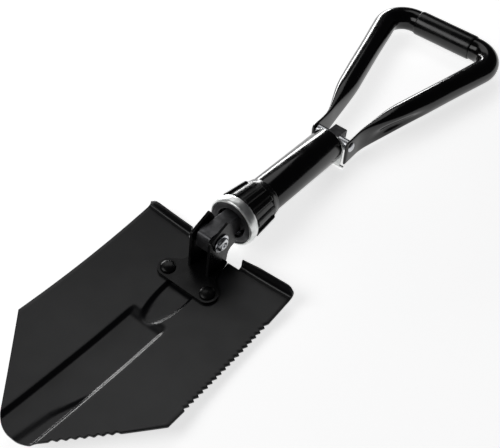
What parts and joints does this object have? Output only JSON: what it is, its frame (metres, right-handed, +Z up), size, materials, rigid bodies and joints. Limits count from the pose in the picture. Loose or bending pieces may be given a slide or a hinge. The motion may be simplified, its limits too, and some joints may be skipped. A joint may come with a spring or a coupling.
{
  "type": "camp shovel",
  "caption": "Folding camp shovel: pointed steel blade toothed on one side, ribbed locking collar, round shaft and folding D handle.",
  "frame": {"origin": "on the floor under the centre of the opened shovel's box", "axes": "+Y from the blade to the D handle, +Z up, the blade's hollow face up; the shaft slopes 5.5 degrees down to +Y because the shovel lies on its blade and the plate at the shaft's end"},
  "size_m": [0.152, 0.5844, 0.0513],
  "materials": {
    "blade_coat": "satin black coating",
    "gloss_black": "gloss black",
    "moulded_black": "satin black",
    "grey_steel": "dark grey metal",
    "zinc": "light grey metal",
    "bright_ring": "bright bare metal"
  },
  "bodies": {
    "shaft": {"hinge_tongue": "grey_steel", "threaded_sleeve": "grey_steel", "shaft_tube": "gloss_black", "stop_plate": "bright_ring", "handle_lug": "grey_steel", "handle_spacer_left": "zinc", "handle_spacer_right": "zinc", "handle_rivet": "zinc"},
    "blade": {"blade": "blade_coat", "hinge_bracket": "gloss_black", "blade_rivet_left": "gloss_black", "blade_rivet_right": "gloss_black", "hinge_pin": "zinc", "hinge_washer_left": "zinc", "hinge_washer_right": "zinc", "friction_washer_left": "grey_steel", "friction_washer_right": "grey_steel"},
    "collar": {"thrust_ring": "grey_steel", "collar_ring": "bright_ring", "snap_ring": "zinc"},
    "nut": {"lock_nut": "moulded_black", "nut_insert": "zinc"},
    "handle": {"d_handle": "gloss_black", "grip_sleeve": "moulded_black"}
  },
  "joints": [
    {"name": "blade_fold", "type": "hinge", "parent": "shaft", "child": "blade", "pos_m": [0, -0.08328, 0.03547], "axis": [-1, 0, 0], "range_deg": [0, 180]},
    {"name": "handle_fold", "type": "hinge", "parent": "shaft", "child": "handle", "pos_m": [0, 0.08404, 0.02035], "axis": [1, 0, 0], "range_deg": [0, 176.5]},
    {"name": "collar_travel", "type": "slide", "parent": "shaft", "child": "collar", "axis": [0, 0.9956, -0.0941], "range_m": [-0.005, 0.006]},
    {"name": "nut_turn", "type": "hinge", "parent": "collar", "child": "nut", "pos_m": [0, -0.0588, 0.02984], "axis": [0, 0.9956, -0.0941], "range_deg": [-455, 545]}
  ],
  "couplings": [
    {"joint": "nut_turn", "follows": "collar_travel", "rad_per_m": 1570.8}
  ]
}
